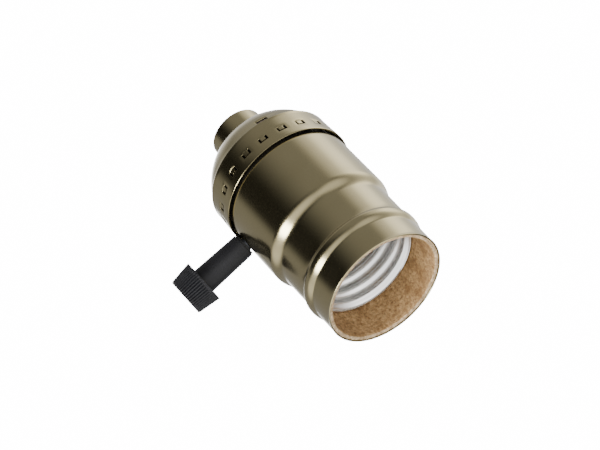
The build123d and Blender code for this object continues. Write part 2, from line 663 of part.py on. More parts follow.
with BuildPart() as centre_contact_rivet:
    rivet_start_z = CHAMBER_ROOF_Z - BLADE
    rivet_end_z = BASE_TOP_Z + LEAF
    with BuildSketch(Plane.XY.offset(rivet_start_z)):
        with Locations((0, RIVET_Y)):
            Circle(RIVET_RADIUS)
    extrude(amount=rivet_end_z - rivet_start_z)
    for head_start_z in (rivet_start_z - RIVET_HEAD, rivet_end_z):
        with BuildSketch(Plane.XY.offset(head_start_z)):
            with Locations((0, RIVET_Y)):
                Circle(RIVET_HEAD_RADIUS)
        extrude(amount=RIVET_HEAD)
finish(centre_contact_rivet, "centre_contact_rivet")

# ---------------------------------------------------------- switch mechanism
with BuildPart() as knob_shaft:
    with BuildSketch(cross_plane(SHAFT_INNER_X)):
        Circle(SHAFT_RADIUS)
    extrude(amount=SHAFT_OUTER_X - SHAFT_INNER_X)
finish(knob_shaft, "knob_shaft")

with BuildPart() as switch_rotor:
    with BuildSketch(cross_plane(ROTOR_BOSS_START_X)):
        Circle(ROTOR_BOSS_RADIUS)
    extrude(amount=ROTOR_START_X - ROTOR_BOSS_START_X)
    with BuildSketch(cross_plane(ROTOR_START_X)):
        Circle(ROTOR_RADIUS)
    extrude(amount=ROTOR_END_X - ROTOR_START_X)
    # the square hub has its corners rounded off, and clicks over the detent leaf
    with BuildSketch(cross_plane(ROTOR_END_X)):
        Rectangle(HUB_ACROSS_FLATS, HUB_ACROSS_FLATS)
        Circle(HUB_CORNER_RADIUS, mode=Mode.INTERSECT)
    extrude(amount=HUB_END_X - ROTOR_END_X)
    with BuildSketch(cross_plane(ROTOR_BOSS_START_X)):
        Circle(SHAFT_RADIUS)
    extrude(amount=HUB_END_X - ROTOR_BOSS_START_X, mode=Mode.SUBTRACT)
finish(switch_rotor, "switch_rotor")

with BuildPart() as rotor_contact:
    # a ring round the rotor, with a raised pad that meets a blade above and below
    with BuildSketch(cross_plane(-BRIDGE_HALF_WIDTH)):
        Rectangle(BRIDGE_PAD_WIDTH, 2 * BRIDGE_PAD_RADIUS)
        Circle(BRIDGE_PAD_RADIUS, mode=Mode.INTERSECT)
        Circle(BRIDGE_RING_RADIUS)
        Circle(ROTOR_RADIUS, mode=Mode.SUBTRACT)
    extrude(amount=2 * BRIDGE_HALF_WIDTH)
finish(rotor_contact, "rotor_contact")

with BuildPart() as shaft_washer:
    with BuildSketch(cross_plane(HUB_END_X)):
        Circle(WASHER_RADIUS)
        Circle(SHAFT_RADIUS, mode=Mode.SUBTRACT)
    extrude(amount=WASHER)
finish(shaft_washer, "shaft_washer")

with BuildPart() as detent_spring:
    with BuildSketch(Plane.XY.offset(detent_leaf_z)):
        with Locations((DETENT_LEAF_X, 0)):
            Rectangle(DETENT_LEAF_WIDTH, detent_leaf_length)
    extrude(amount=BLADE)
finish(detent_spring, "detent_spring")

# ----------------------------------------------------------------------- knob
with BuildPart() as knob:
    with BuildSketch(Plane.XZ):
        with BuildLine():
            Polyline(
                (STEM_START_X, KNOB_Z),
                (STEM_START_X, KNOB_Z + STEM_START_RADIUS - STEM_STEP / 2),
                (STEM_START_X + STEM_STEP, KNOB_Z + STEM_START_RADIUS - STEM_STEP / 2),
                (STEM_START_X + STEM_STEP, KNOB_Z + STEM_START_RADIUS),
                (HEAD_START_X, KNOB_Z + STEM_END_RADIUS),
                (HEAD_START_X, KNOB_Z + HEAD_START_RADIUS),
                (HEAD_END_X, KNOB_Z + HEAD_END_RADIUS),
                (HEAD_END_X, KNOB_Z),
                close=True,
            )
        make_face()
    revolve(axis=Axis((0, 0, KNOB_Z), (1, 0, 0)))
    # grooves between the ribs follow the head's taper
    head_length = HEAD_END_X - HEAD_START_X
    for index in range(RIB_COUNT):
        turn = radians(index * 360 / RIB_COUNT)
        outward = Vector(0, sin(turn), cos(turn))
        start = Vector(HEAD_START_X, 0, KNOB_Z) + outward * HEAD_START_RADIUS
        end = Vector(HEAD_END_X, 0, KNOB_Z) + outward * HEAD_END_RADIUS
        along = (end - start).normalized()
        groove_plane = Plane(origin=start - along * PAST, x_dir=outward.cross(along), z_dir=along)
        with BuildSketch(groove_plane):
            Rectangle(2 * RIB_DEPTH, 2 * RIB_DEPTH, rotation=45)
        extrude(amount=head_length + 2 * PAST, mode=Mode.SUBTRACT)
    with BuildSketch(cross_plane(STEM_START_X)):
        Circle(SHAFT_RADIUS)
    extrude(amount=SHAFT_OUTER_X - STEM_START_X, mode=Mode.SUBTRACT)
finish(knob, "knob")
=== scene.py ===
"""Looks of the turn-knob lamp socket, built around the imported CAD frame.

Shapes are worked out in millimetres in the CAD's own frame (+Z towards the mouth, +X along the
turn knob) and turned into metres when a mesh is made.
"""

import json
from math import asin, ceil, cos, degrees, pi, radians, sin, sqrt, tan

import bmesh
import bpy
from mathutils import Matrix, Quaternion, Vector, noise

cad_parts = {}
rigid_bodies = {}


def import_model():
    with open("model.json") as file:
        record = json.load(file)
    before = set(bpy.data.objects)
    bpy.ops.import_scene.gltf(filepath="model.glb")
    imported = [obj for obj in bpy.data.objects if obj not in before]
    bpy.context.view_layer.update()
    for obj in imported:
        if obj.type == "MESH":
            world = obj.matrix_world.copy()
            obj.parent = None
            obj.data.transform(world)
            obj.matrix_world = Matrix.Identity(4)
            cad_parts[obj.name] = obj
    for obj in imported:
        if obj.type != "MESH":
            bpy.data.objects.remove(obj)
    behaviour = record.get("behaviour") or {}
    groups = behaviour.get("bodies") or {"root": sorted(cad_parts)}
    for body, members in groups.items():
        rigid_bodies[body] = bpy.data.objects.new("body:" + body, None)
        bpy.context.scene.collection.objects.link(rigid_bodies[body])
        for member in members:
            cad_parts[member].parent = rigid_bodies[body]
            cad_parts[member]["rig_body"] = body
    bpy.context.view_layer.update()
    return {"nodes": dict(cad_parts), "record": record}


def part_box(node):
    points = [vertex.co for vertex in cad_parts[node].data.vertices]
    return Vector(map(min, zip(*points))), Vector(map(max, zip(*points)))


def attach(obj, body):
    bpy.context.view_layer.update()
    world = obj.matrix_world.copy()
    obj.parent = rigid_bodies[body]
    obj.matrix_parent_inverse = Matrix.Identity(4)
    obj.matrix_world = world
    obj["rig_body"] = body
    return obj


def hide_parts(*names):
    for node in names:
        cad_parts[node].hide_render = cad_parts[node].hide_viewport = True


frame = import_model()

MM = 0.001

# ------------------------------------------------------------------ sizes, in millimetres


def node_box(node):
    """Lowest and highest corner of a CAD node, in millimetres."""
    low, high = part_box(node)
    return low / MM, high / MM


cap_low, cap_high = node_box("cap")
shell_low, shell_high = node_box("outer_shell")
sleeve_low, sleeve_high = node_box("insulating_sleeve")
screw_low, screw_high = node_box("screw_shell")
neck_low, neck_high = node_box("neck_bushing")
knob_low, knob_high = node_box("knob")
set_screw_low, set_screw_high = node_box("set_screw")

# cap
SHEET = 0.45
RIM_RADIUS = cap_high.y
RIM_Z = cap_high.z
LAND_Z = cap_low.z
LAND_RADIUS = 7.0
DOME_RADIUS = 17.6
CREASE_RADIUS = 16.6
SKIRT_TOP_RADIUS = 16.95
CREASE_CORNER = 0.17
CREASE_LIP = 0.07
CREASE_LIP_FALL = 0.26
WINDOW_COUNT = 20
WINDOW_FIRST_AZIMUTH = 9
DEGREES_PER_MM = degrees(1 / RIM_RADIUS)
WINDOW_HINGE_Z = 19.35
WINDOW_TOP_Z = 20.85
TONGUE_TIP_Z = 20.4
TONGUE_INSET = 0.20
TONGUE_BEND = 0.05
TONGUE_HALF_WIDTH = 0.68
WINDOW_HALF_WIDTH = 1.22
DISH_HALF_WIDTH = 1.5
DISH_MARGIN = 0.3
DISH_DEPTH = 0.05
NOTCH_AZIMUTH = -110
NOTCH_HALF_ANGLE = 5.6
NOTCH_HEIGHT = 2.3
NOTCH_DEPTH = 0.3
NOTCH_SLIT = 1.85
NOTCH_ROWS = 6
RIM_TAPER_HEIGHT = 0.55
RIM_TAPER = 0.02
RIM_EDGE = 0.05
RIM_EDGE_HEIGHT = 0.08

# neck
NECK_RADIUS = neck_high.x
NECK_FLANGE_RADIUS = 6.7
NECK_FLANGE_HEIGHT = 0.9
NECK_RIVET_RADIUS = 6.0
PIPE_THREAD_MINOR = 4.6
PIPE_THREAD_DEPTH = 0.45
PIPE_THREAD_PITCH = 25.4 / 27
PIPE_THREAD_RUNOUT = 0.5
PIPE_THREAD_ROWS_PER_TURN = 14
NECK_STEPS = 128

# outer shell
SHELL_SHEET = 0.3
SHELL_WIDEST_RADIUS = shell_high.y
SHELL_START_Z = shell_low.z
MOUTH_Z = shell_high.z
SHELL_NECK_RADIUS = 15.85
SHELL_NECK_END_Z = 23.6
# up to this height the shell's neck is coloured nearly black, as painted shade inside the cap
SHELL_SHADE_END_Z = 23.75
SHELL_BODY_START_Z = 24.2
SHELL_BODY_RADIUS = 16.74
SHOULDER_TOP_Z = 40.5
SHOULDER_BOTTOM_Z = 44.4
WAIST_RADIUS = 15.75
BEAD_START_Z = 53.2
BEAD_CROWN_Z = 54.7
BEAD_FALL_Z = 55.2
BEAD_RADIUS = 16.4
BEAD_END_Z = 57.3
BEAD_WAVE = 0.72 * pi
MOUTH_RADIUS = 15.72
CURL_RADIUS = 15.8
CURL_HEIGHT = 0.9
SLOT_WIDTH = 5.6
SLOT_INNER_X = 10
SLOT_OUTER_X = 20

# sleeve
SLEEVE_OUTER = sleeve_high.y
SLEEVE_THICKNESS = 0.85
SLEEVE_STEPS = 512
CUT_EDGE_FLARE_HEIGHT = 1.2
CUT_EDGE_GAP = 0.08
CUT_EDGE_HEIGHT = 0.6
CUT_EDGE_FLARE = 0.3
CUT_EDGE_FINISH_HEIGHT = 0.32
# the cut edge sits this much low, so that its peaks stay inside the CAD's box
CUT_EDGE_DROP = 0.13
# waves per millimetre and height of each layer of unevenness
CARD_BUMPS = ((1.9, 0.06), (5.5, 0.05))
CUT_EDGE_WAVES = ((2.1, 0.07), (6.5, 0.07))

# screw shell
THREAD_PITCH = 3.629
THREAD_CREST_RADIUS = 12.35
THREAD_ROOT_RADIUS = 13.25
THREAD_SHEET = 0.35
THREAD_START_HEIGHT = 1.6
THREAD_RUN_IN = 1.2
THREAD_ROWS = 120
SCREW_FLOOR_RADIUS = 9.6
FLOOR_CORNER_HEIGHT = 1.0
LIP_HEIGHT = 1.3
LIP_CROWN = 0.06

# knob and set screw
KNOB_Z = (knob_low.z + knob_high.z) / 2
SHAFT_RADIUS = 1.9
SHAFT_BORE_DEPTH = 3
STEM_START_RADIUS = 3.1
STEM_END_RADIUS = 3.35
STEM_STEP = 0.5
HEAD_START_X = 30.3
HEAD_START_RADIUS = 5.7
HEAD_END_RADIUS = 4.93
HEAD_BAND = 0.35
HEAD_FACE_INSET = 0.12
HEAD_FACE_RIM = 1.5
RIB_COUNT = 48
RIB_DEPTH = 0.32
RIB_STEPS = 12
RIB_RUN_IN = 0.25
DRIVER_SLOT_WIDTH = 0.6
DRIVER_SLOT_DEPTH = 0.6
SET_SCREW_STEPS = 48

# steps round the axis, round a fillet and round the edge of a bent sheet
ROUND_STEPS = 256
FILLET_STEPS = 6
SHEET_EDGE_STEPS = 4
# the radius of a point that stands for the axis
NEAR_AXIS = 0.001
# an edge that bends by more than this many degrees is shown sharp
SHARP_ANGLE = 38

# --------------------------------------------------------------------------- studio

# the camera's angles are in degrees, its lens and its places in millimetres
CAMERA_AZIMUTH = 2.2
CAMERA_ELEVATION = 36.43
CAMERA_ROLL = 136.62
CAMERA_LENS = 240
CAMERA_DISTANCE = 939
CAMERA_LEFT = 20.06
CAMERA_UP = 14.92
# the floor's sizes are in metres
FLOOR_HALF_WIDTH = 12.0
FLOOR_DROP = 1.5
PAPER_GLOW = 14.0
DIM_ROOM = 0.02
# azimuth and elevation of each soft light, its inner and outer half-angle, and its strength
SOFT_LIGHTS = [
    (165, -30, 8, 44, 1.3),
    (168, -26, 4, 22, 1.6),
    (-155, -30, 25, 82, 0.42),
    (108, -12, 12, 36, 1.6),
    (90, -56, 4, 22, 0.9),
    (82, -43, 3, 14, 3.0),
    (45, -25, 40, 57, 0.42),
    (-37, 8, 4, 15, 32.0),
    (2, 14, 10, 38, 1.5),
    (-60, 68, 40, 76, 2.3),
    (-145, 30, 10, 40, 1.2),
    (0, -90, 10, 34, 0.3),
]


# ------------------------------------------------------------------------ mesh helpers


def grid_faces(rows, columns, skip=()):
    """Quads of a grid of points, listed row by row, that closes on itself both ways.

    A skipped cell leaves a hole.
    """
    faces = []
    for row in range(rows):
        for column in range(columns):
            if (row, column) in skip:
                continue
            next_row = (row + 1) % rows
            next_column = (column + 1) % columns
            faces.append((
                row * columns + column,
                row * columns + next_column,
                next_row * columns + next_column,
                next_row * columns + column,
            ))
    return faces


def make_piece(name, points, faces, finish, sharp_angle=SHARP_ANGLE):
    """A smooth-shaded mesh object from points in millimetres, with its faces turned outwards."""
    mesh = bpy.data.meshes.new(name)
    mesh.from_pydata([Vector(point) * MM for point in points], [], faces)
    form = bmesh.new()
    form.from_mesh(mesh)
    bmesh.ops.remove_doubles(form, verts=form.verts, dist=1e-7)
    bmesh.ops.recalc_face_normals(form, faces=form.faces)
    form.to_mesh(mesh)
    form.free()
    mesh.shade_smooth()
    mesh.set_sharp_from_angle(angle=radians(sharp_angle))
    mesh.materials.append(finish)
    piece = bpy.data.objects.new(name, mesh)
    bpy.context.scene.collection.objects.link(piece)
    return piece


def stand_for(piece, node):
    """Hide the CAD node that the piece stands for, and let it ride on that node's body."""
    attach(piece, frame["nodes"][node]["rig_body"])
    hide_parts(node)
    return piece


def apply_modifiers(piece):
    """Bake the piece's modifiers into its mesh and mark its sharp edges again."""
    graph = bpy.context.evaluated_depsgraph_get()
    mesh = bpy.data.meshes.new_from_object(piece.evaluated_get(graph))
    piece.modifiers.clear()
    piece.data = mesh
    mesh.shade_smooth()
    mesh.set_sharp_from_angle(angle=radians(SHARP_ANGLE))


def cut_away(piece, cutter):
    """Cut the cutter's solid out of the piece, then delete the cutter."""
    cut = piece.modifiers.new("cut", "BOOLEAN")
    cut.operation = "DIFFERENCE"
    cut.solver = "MANIFOLD"
    cut.object = cutter
    apply_modifiers(piece)
    bpy.data.objects.remove(cutter)


def round_edges(piece, width, angle=50):
    """Give the piece's sharp edges a narrow rounded edge that catches the light."""
    bevel = piece.modifiers.new("edge", "BEVEL")
    bevel.width = width * MM
    bevel.segments = 2
    bevel.limit_method = "ANGLE"
    bevel.angle_limit = radians(angle)
    apply_modifiers(piece)


# --------------------------------------------------------------------- outline helpers


def softened(corners):
    """Outline points from (radius, height, fillet) corners, with each corner rounded."""
    outline = []
    for index, (radius, height, fillet) in enumerate(corners):
        here = Vector((radius, height))
        if fillet == 0:
            outline.append(here)
            continue
        to_before = (Vector(corners[index - 1][:2]) - here).normalized()
        to_after = (Vector(corners[(index + 1) % len(corners)][:2]) - here).normalized()
        reach = fillet / tan(to_before.angle(to_after) / 2)
        start = here + to_before * reach
        end = here + to_after * reach
        for step in range(FILLET_STEPS + 1):
            share = step / FILLET_STEPS
            outline.append(
                start * (1 - share) ** 2 + here * 2 * share * (1 - share) + end * share**2
            )
    return outline


def straight(start, end, steps):
    """Evenly spaced points from start up to, but not including, end."""
    return [Vector(start).lerp(Vector(end), step / steps) for step in range(steps)]


def eased(start, end, steps, power=1.0):
    """Points along an S-shaped step from start up to, but not including, end."""
    points = []
    for step in range(steps):
        share = (step / steps) ** power
        rise = (1 - cos(pi * share)) / 2
        radius = start[0] + (end[0] - start[0]) * rise
        points.append(Vector((radius, start[1] + (end[1] - start[1]) * step / steps)))
    return points


def sheet_inside(outside, thickness):
    """The inside of a bent sheet: each outside point moved square to the sheet."""
    inside = []
    for index, point in enumerate(outside):
        before = outside[max(index - 1, 0)]
        after = outside[min(index + 1, len(outside) - 1)]
        along = (after - before).normalized()
        inside.append(point + Vector((-along.y, along.x)) * thickness)
    return inside


def half_round(start, end):
    """Points between start and end on the half circle that rounds a sheet's edge."""
    centre = (start + end) / 2
    arm = start - centre
    points = []
    for step in range(1, SHEET_EDGE_STEPS):
        turn = pi * step / SHEET_EDGE_STEPS
        points.append(centre + Vector((
            arm.x * cos(turn) - arm.y * sin(turn),
            arm.x * sin(turn) + arm.y * cos(turn),
        )))
    return points


def sheet_outline(outside, thickness):
    """A closed outline of a bent sheet whose outside is given; its two edges are rounded."""
    inside = sheet_inside(outside, thickness)
    outline = list(outside)
    outline += half_round(outside[-1], inside[-1])
    outline += reversed(inside)
    outline += half_round(inside[0], outside[0])
    return outline


def turned(outline, steps=ROUND_STEPS):
    """Points and faces of a closed (radius, height) outline turned about the socket's axis."""
    points = []
    for radius, height in outline:
        for step in range(steps):
            turn = 2 * pi * step / steps
            points.append((radius * cos(turn), radius * sin(turn), height))
    return points, grid_faces(len(outline), steps)


def turned_about_knob(outline, steps, reach):
    """As turned, but for a (radius, distance along X) outline about the knob's axis.

    reach(along, turn, radius) gives the radius at an angle, so that the side can be ribbed.
    """
    points = []
    for radius, along in outline:
        for step in range(steps):
            turn = 2 * pi * step / steps
            here = reach(along, turn, radius)
            points.append((along, here * sin(turn), KNOB_Z + here * cos(turn)))
    return points, grid_faces(len(outline), steps)


# --------------------------------------------------------------------------- materials


class Finish:
    """A node material with a Principled shader and a few shorthands for procedural detail."""

    def __init__(self, name, metallic, roughness):
        self.material = bpy.data.materials.new(name)
        self.material.use_nodes = True
        self.tree = self.material.node_tree
        self.shader = self.tree.nodes["Principled BSDF"]
        self.shader.inputs["Metallic"].default_value = metallic
        self.shader.inputs["Roughness"].default_value = roughness
        self.place = self.tree.nodes.new("ShaderNodeTexCoord").outputs["Object"]

    def join(self, source, target):
        self.tree.links.new(source, target)

    def stretched(self, scale):
        """The object's coordinates, scaled by a different amount along each axis."""
        mapping = self.tree.nodes.new("ShaderNodeMapping")
        mapping.inputs["Scale"].default_value = scale
        self.join(self.place, mapping.inputs["Vector"])
        return mapping.outputs["Vector"]

    def grain(self, size_mm, detail=3.0, place=None):
        """Cloudy noise whose grains are about the given size."""
        cloud = self.tree.nodes.new("ShaderNodeTexNoise")
        cloud.inputs["Scale"].default_value = 1 / (size_mm * MM)
        cloud.inputs["Detail"].default_value = detail
        self.join(place or self.place, cloud.inputs["Vector"])
        return cloud.outputs["Fac"]

    def between(self, amount, low, high, from_low=0.3, from_high=0.7):
        """The amount remapped to run from low to high."""
        remap = self.tree.nodes.new("ShaderNodeMapRange")
        remap.inputs["From Min"].default_value = from_low
        remap.inputs["From Max"].default_value = from_high
        remap.inputs["To Min"].default_value = low
        remap.inputs["To Max"].default_value = high
        self.join(amount, remap.inputs["Value"])
        return remap.outputs["Result"]

    def mixed(self, amount, first, second):
        """A colour between two colours, or colour sockets, by the amount."""
        mix = self.tree.nodes.new("ShaderNodeMix")
        mix.data_type = "RGBA"
        self.join(amount, mix.inputs["Factor"])
        for colour, socket in ((first, mix.inputs["A"]), (second, mix.inputs["B"])):
            if isinstance(colour, tuple):
                socket.default_value = (*colour, 1)
            else:
                self.join(colour, socket)
        return mix.outputs["Result"]

    def colour(self, source):
        self.join(source, self.shader.inputs["Base Color"])

    def roughness(self, source):
        self.join(source, self.shader.inputs["Roughness"])

    def relief(self, height, depth_mm, strength=1.0):
        """Bump from a height, whose full range is the given depth."""
        bump = self.tree.nodes.new("ShaderNodeBump")
        bump.inputs["Distance"].default_value = depth_mm * MM
        bump.inputs["Strength"].default_value = strength
        self.join(height, bump.inputs["Height"])
        self.join(bump.outputs["Normal"], self.shader.inputs["Normal"])


def antique_metal():
    """Satin antique bronze plating: olive brown, with a fine grain and faint cloudiness."""
    finish = Finish("antique_bronze", 1.0, 0.24)
    clouds = finish.grain(9.0, 2.0)
    finish.colour(finish.mixed(clouds, (0.345, 0.295, 0.162), (0.395, 0.342, 0.198)))
    fine = finish.grain(0.16, 2.0)
    finish.roughness(finish.between(fine, 0.15, 0.23))
    finish.relief(fine, 0.0004)
    return finish.material


def bright_aluminium():
    """Rolled aluminium: bright, with fine lines round the thread and a little haze."""
    finish = Finish("rolled_aluminium", 1.0, 0.36)
    lines = finish.grain(0.9, 2.0, finish.stretched((1, 1, 9)))
    finish.colour(finish.mixed(lines, (0.74, 0.74, 0.72), (0.93, 0.93, 0.92)))
    finish.roughness(finish.between(lines, 0.28, 0.38))
    finish.relief(finish.grain(0.22, 3.0), 0.003)
    return finish.material


def fibre_board(name, dark, light, speck_colour):
    """Cardboard: matted fibres with darker and paler specks."""
    finish = Finish(name, 0.0, 0.9)
    fibres = finish.grain(0.7, 6.0)
    strands = finish.grain(0.5, 5.0, finish.stretched((1, 1, 3.0)))
    stains = finish.grain(3.2, 3.0)
    specks = finish.grain(0.32, 2.0, finish.stretched((1, 1, 2.2)))
    body = finish.mixed(finish.between(fibres, 0, 1, 0.25, 0.72), dark, light)
    stained = finish.mixed(finish.between(stains, 0, 0.6, 0.45, 0.68), body, dark)
    finish.colour(finish.mixed(finish.between(specks, 0, 0.7, 0.56, 0.70), stained, speck_colour))
    finish.relief(strands, 0.12, 0.8)
    finish.shader.inputs["Specular IOR Level"].default_value = 0.2
    return finish.material


def knob_plastic():
    """Matt black moulded plastic with a fine pebbled skin."""
    finish = Finish("black_plastic", 0.0, 0.42)
    skin = finish.grain(0.14, 3.0)
    patches = finish.grain(2.5, 3.0)
    finish.colour(finish.mixed(patches, (0.006, 0.006, 0.007), (0.012, 0.012, 0.014)))
    finish.roughness(finish.between(skin, 0.42, 0.58))
    finish.relief(skin, 0.010)
    finish.shader.inputs["Specular IOR Level"].default_value = 0.2
    return finish.material


def phenolic():
    """Black phenolic moulding: glossy, with a faint brown marbling."""
    finish = Finish("phenolic", 0.0, 0.28)
    marbling = finish.grain(3.0, 5.0)
    amount = finish.between(marbling, 0, 1)
    finish.colour(finish.mixed(amount, (0.012, 0.010, 0.009), (0.045, 0.030, 0.022)))
    skin = finish.grain(0.3, 3.0)
    finish.roughness(finish.between(skin, 0.22, 0.36))
    finish.relief(skin, 0.004)
    return finish.material


def plain_metal(name, dark, light, roughness):
    """Stamped sheet or turned wire: even colour with fine drawing lines."""
    finish = Finish(name, 1.0, roughness)
    lines = finish.grain(0.5, 3.0, finish.stretched((6, 1, 1)))
    finish.colour(finish.mixed(lines, dark, light))
    finish.roughness(finish.between(lines, roughness - 0.06, roughness + 0.08))
    finish.relief(lines, 0.004)
    return finish.material


BRONZE_PLATING = antique_metal()
# nearly black metal: painted shade for the cap's inner faces and the shell's neck, which sit in
# shadow inside the cap
PAINTED_SHADE_METAL = plain_metal("painted_shade_metal", (0.045, 0.040, 0.030), (0.075, 0.066, 0.050), 0.55)
ALUMINIUM = bright_aluminium()
CARD = fibre_board("cardboard", (0.15, 0.074, 0.024), (0.48, 0.305, 0.14), (0.050, 0.024, 0.008))
CARD_EDGE = fibre_board(
    "cardboard_cut_edge", (0.20, 0.125, 0.06), (0.68, 0.52, 0.32), (0.04, 0.020, 0.010)
)
FIBRE = fibre_board("vulcanised_fibre", (0.13, 0.10, 0.08), (0.20, 0.16, 0.13), (0.05, 0.04, 0.03))
BLACK_PLASTIC = knob_plastic()
PHENOLIC = phenolic()
BRASS = plain_metal("brass", (0.62, 0.43, 0.16), (0.74, 0.54, 0.23), 0.28)
SPRING_BRONZE = plain_metal("spring_bronze", (0.55, 0.33, 0.16), (0.66, 0.42, 0.22), 0.3)
PLATED_STEEL = plain_metal("plated_steel", (0.56, 0.57, 0.58), (0.68, 0.69, 0.70), 0.3)
# nearly black steel: a dark steel colour that also paints the shade on the knob's shaft, which
# lies in shadow between the knob and the shell
DARK_STEEL_AND_SHADE = plain_metal("spring_steel", (0.035, 0.036, 0.040), (0.075, 0.077, 0.085), 0.4)

SLOT_FINISHES = {
    "antique_metal": BRONZE_PLATING,
    "aluminium": ALUMINIUM,
    "brass": BRASS,
    "spring_bronze": SPRING_BRONZE,
    "plated_steel": PLATED_STEEL,
    "spring_steel": DARK_STEEL_AND_SHADE,
    "phenolic": PHENOLIC,
    "knob_plastic": BLACK_PLASTIC,
    "cardboard": CARD,
    "fibre": FIBRE,
}


def finish_cad_nodes():
    """Give every CAD node the procedural material of its slot."""
    for row in frame["record"]["subparts"]:
        node = frame["nodes"][row["node"]]
        node.data.materials.clear()
        node.data.materials.append(SLOT_FINISHES[row["material_slot"]])


# --------------------------------------------------------------------------------- cap


def dome_centre_z():
    """Height of the centre of the dome's sphere."""
    return LAND_Z + sqrt(DOME_RADIUS**2 - LAND_RADIUS**2)


def on_dome(angle):
    """The dome's outside at an angle from the neck's axis."""
    return Vector((DOME_RADIUS * sin(angle), dome_centre_z() - DOME_RADIUS * cos(angle)))


def dome_outside():
    """The dome's outside up to the crease, with close rows where the notch is pressed."""
    start_angle = asin(LAND_RADIUS / DOME_RADIUS)
    crease_angle = asin(CREASE_RADIUS / DOME_RADIUS)
    notch_angle = crease_angle - NOTCH_HEIGHT / DOME_RADIUS
    slit_angle = crease_angle - NOTCH_SLIT / DOME_RADIUS
    angles = [start_angle + (notch_angle - start_angle) * step / 26 for step in range(26)]
    angles += [
        notch_angle + (slit_angle - notch_angle) * step / NOTCH_ROWS
        for step in range(NOTCH_ROWS)
    ]
    angles += [slit_angle, crease_angle]
    return [on_dome(angle) for angle in angles]


def skirt_heights(start_z):
    """Heights of the skirt's grid rows: close together across the windows."""
    below_windows = WINDOW_HINGE_Z - 0.5
    heights = [start_z + (below_windows - start_z) * step / 6 for step in range(1, 7)]
    heights += [WINDOW_HINGE_Z - 0.25]
    heights += [WINDOW_HINGE_Z, WINDOW_HINGE_Z + TONGUE_BEND, TONGUE_TIP_Z]
    heights += [WINDOW_TOP_Z, WINDOW_TOP_Z + 0.25, WINDOW_TOP_Z + 0.6, WINDOW_TOP_Z + 1.2]
    return heights


def cap_outside():
    """The cap's outside from the hole round the neck to the rim."""
    outside = [Vector((NECK_RIVET_RADIUS, LAND_Z))] + dome_outside()
    # the skirt starts with a small rounded lip that stands proud of the dome
    corner = Vector((
        SKIRT_TOP_RADIUS + CREASE_LIP - CREASE_CORNER,
        outside[-1].y + CREASE_CORNER,
    ))
    for step in range(6):
        turn = pi / 2 * (step / 5 - 1)
        outside.append(corner + Vector((cos(turn), sin(turn))) * CREASE_CORNER)
    skirt_top = Vector((SKIRT_TOP_RADIUS, outside[-1].y + CREASE_LIP_FALL))
    outside.append(skirt_top)
    rim = Vector((RIM_RADIUS - RIM_TAPER, RIM_Z - RIM_TAPER_HEIGHT))
    for height in skirt_heights(skirt_top.y):
        share = (height - skirt_top.y) / (rim.y - skirt_top.y)
        outside.append(Vector((skirt_top.x + (rim.x - skirt_top.x) * share, height)))
    outside.append(rim)
    outside.append(Vector((RIM_RADIUS, RIM_Z - RIM_EDGE_HEIGHT)))
    outside.append(Vector((RIM_RADIUS - RIM_EDGE, RIM_Z)))
    return outside


def cap_inside(outside):
    """The cap's inside, squared off at the neck's hole and at the rim."""
    inside = sheet_inside(outside, SHEET)
    inside[0] = Vector((NECK_RIVET_RADIUS, LAND_Z + SHEET))
    inside[-1] = Vector((RIM_RADIUS - SHEET + RIM_EDGE, RIM_Z))
    return inside


def cap_columns():
    """Azimuths of the cap's grid lines: close together across each window."""
    half_sector = 180 / WINDOW_COUNT
    offsets_mm = [0, 0.4, TONGUE_HALF_WIDTH, WINDOW_HALF_WIDTH, 1.35, 1.75, 2.2]
    offsets = [offset * DEGREES_PER_MM for offset in offsets_mm] + [half_sector]
    sector = sorted({-offset for offset in offsets[:-1]} | set(offsets))
    columns = []
    for window in range(WINDOW_COUNT):
        centre = WINDOW_FIRST_AZIMUTH + window * 2 * half_sector
        columns += [centre + offset for offset in sector]
    return columns


def angle_from(azimuth, centre):
    """Signed angle between two azimuths, from -180 to 180 degrees."""
    return (azimuth - centre + 180) % 360 - 180


def from_window(azimuth):
    """Distance round the rim, in millimetres, to the middle of the nearest window."""
    window = round((azimuth - WINDOW_FIRST_AZIMUTH) * WINDOW_COUNT / 360)
    centre = WINDOW_FIRST_AZIMUTH + window * 360 / WINDOW_COUNT
    return abs(angle_from(azimuth, centre)) / DEGREES_PER_MM


def window_press(azimuth, height):
    """How far the skirt is pushed in at a window: its tongue, or the shallow dish round it."""
    beside = from_window(azimuth)
    if beside < TONGUE_HALF_WIDTH + 0.05 and WINDOW_HINGE_Z < height < TONGUE_TIP_Z + 0.01:
        return TONGUE_INSET
    dish_start = WINDOW_HINGE_Z - DISH_MARGIN
    dish_end = WINDOW_TOP_Z + DISH_MARGIN
    if beside < DISH_HALF_WIDTH and dish_start < height < dish_end:
        return DISH_DEPTH
    return 0.0


def notch_press(azimuth, rise):
    """How far the dome is pushed in below the notch, where rise runs from 0 to 1."""
    beside = abs(angle_from(azimuth, NOTCH_AZIMUTH)) / NOTCH_HALF_ANGLE
    if beside >= 1:
        return 0.0
    sides = min(1.0, 1.25 * (1 - beside**4))
    return NOTCH_DEPTH * rise**1.3 * sides


def in_window_slit(azimuth, height):
    """Is this place in the U-shaped slit round a window's tongue?"""
    beside = from_window(azimuth)
    in_window = beside < WINDOW_HALF_WIDTH and WINDOW_HINGE_Z < height < WINDOW_TOP_Z
    on_tongue = beside < TONGUE_HALF_WIDTH and height < TONGUE_TIP_Z
    return in_window and not on_tongue


def slit_walls(holes, width, last):
    """Faces through the sheet's thickness, all round each slit's grid cells."""
    faces = []
    for row, column in holes:
        next_column = (column + 1) % width
        for neighbour, first, second in (
            ((row - 1, column), (row, column), (row, next_column)),
            ((row + 1, column), (row + 1, column), (row + 1, next_column)),
            ((row, (column - 1) % width), (row, column), (row + 1, column)),
            ((row, next_column), (row, next_column), (row + 1, next_column)),
        ):
            if neighbour in holes:
                continue
            faces.append((
                first[0] * width + first[1],
                second[0] * width + second[1],
                (last - second[0]) * width + second[1],
                (last - first[0]) * width + first[1],
            ))
    return faces


